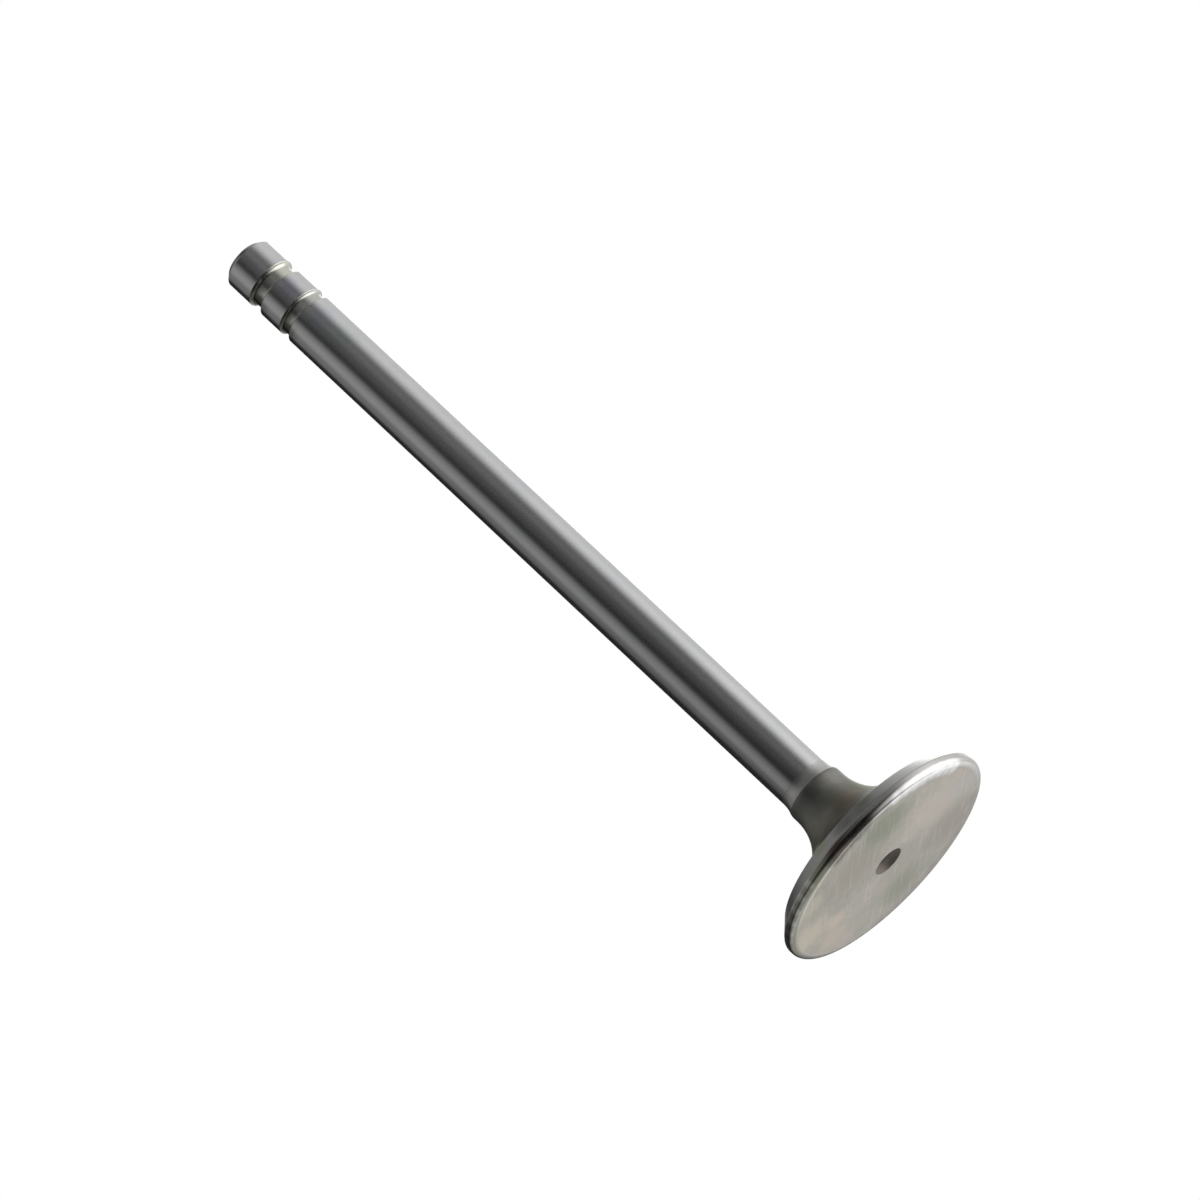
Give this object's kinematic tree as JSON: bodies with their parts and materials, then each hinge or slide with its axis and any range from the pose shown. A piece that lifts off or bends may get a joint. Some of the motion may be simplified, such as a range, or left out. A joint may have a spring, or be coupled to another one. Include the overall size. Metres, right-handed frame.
{
  "type": "engine poppet valve",
  "caption": "One-piece engine poppet valve: ground stem with round keeper and seal grooves at the tip, flared neck, and a flat head with an angled sealing seat.",
  "frame": {"origin": "centre of the flat combustion face, which the valve stands on", "axes": "+Z along the stem's axis, from the combustion face to the tip; X and Y are free, because the valve is round"},
  "size_m": [0.0422, 0.0422, 0.1531],
  "materials": {
    "valve_steel": "ground bright on the stem and seat, turned on the face and rim, dull olive grey on the neck"
  },
  "bodies": {
    "root": {"engine_valve": "valve_steel"}
  },
  "joints": []
}
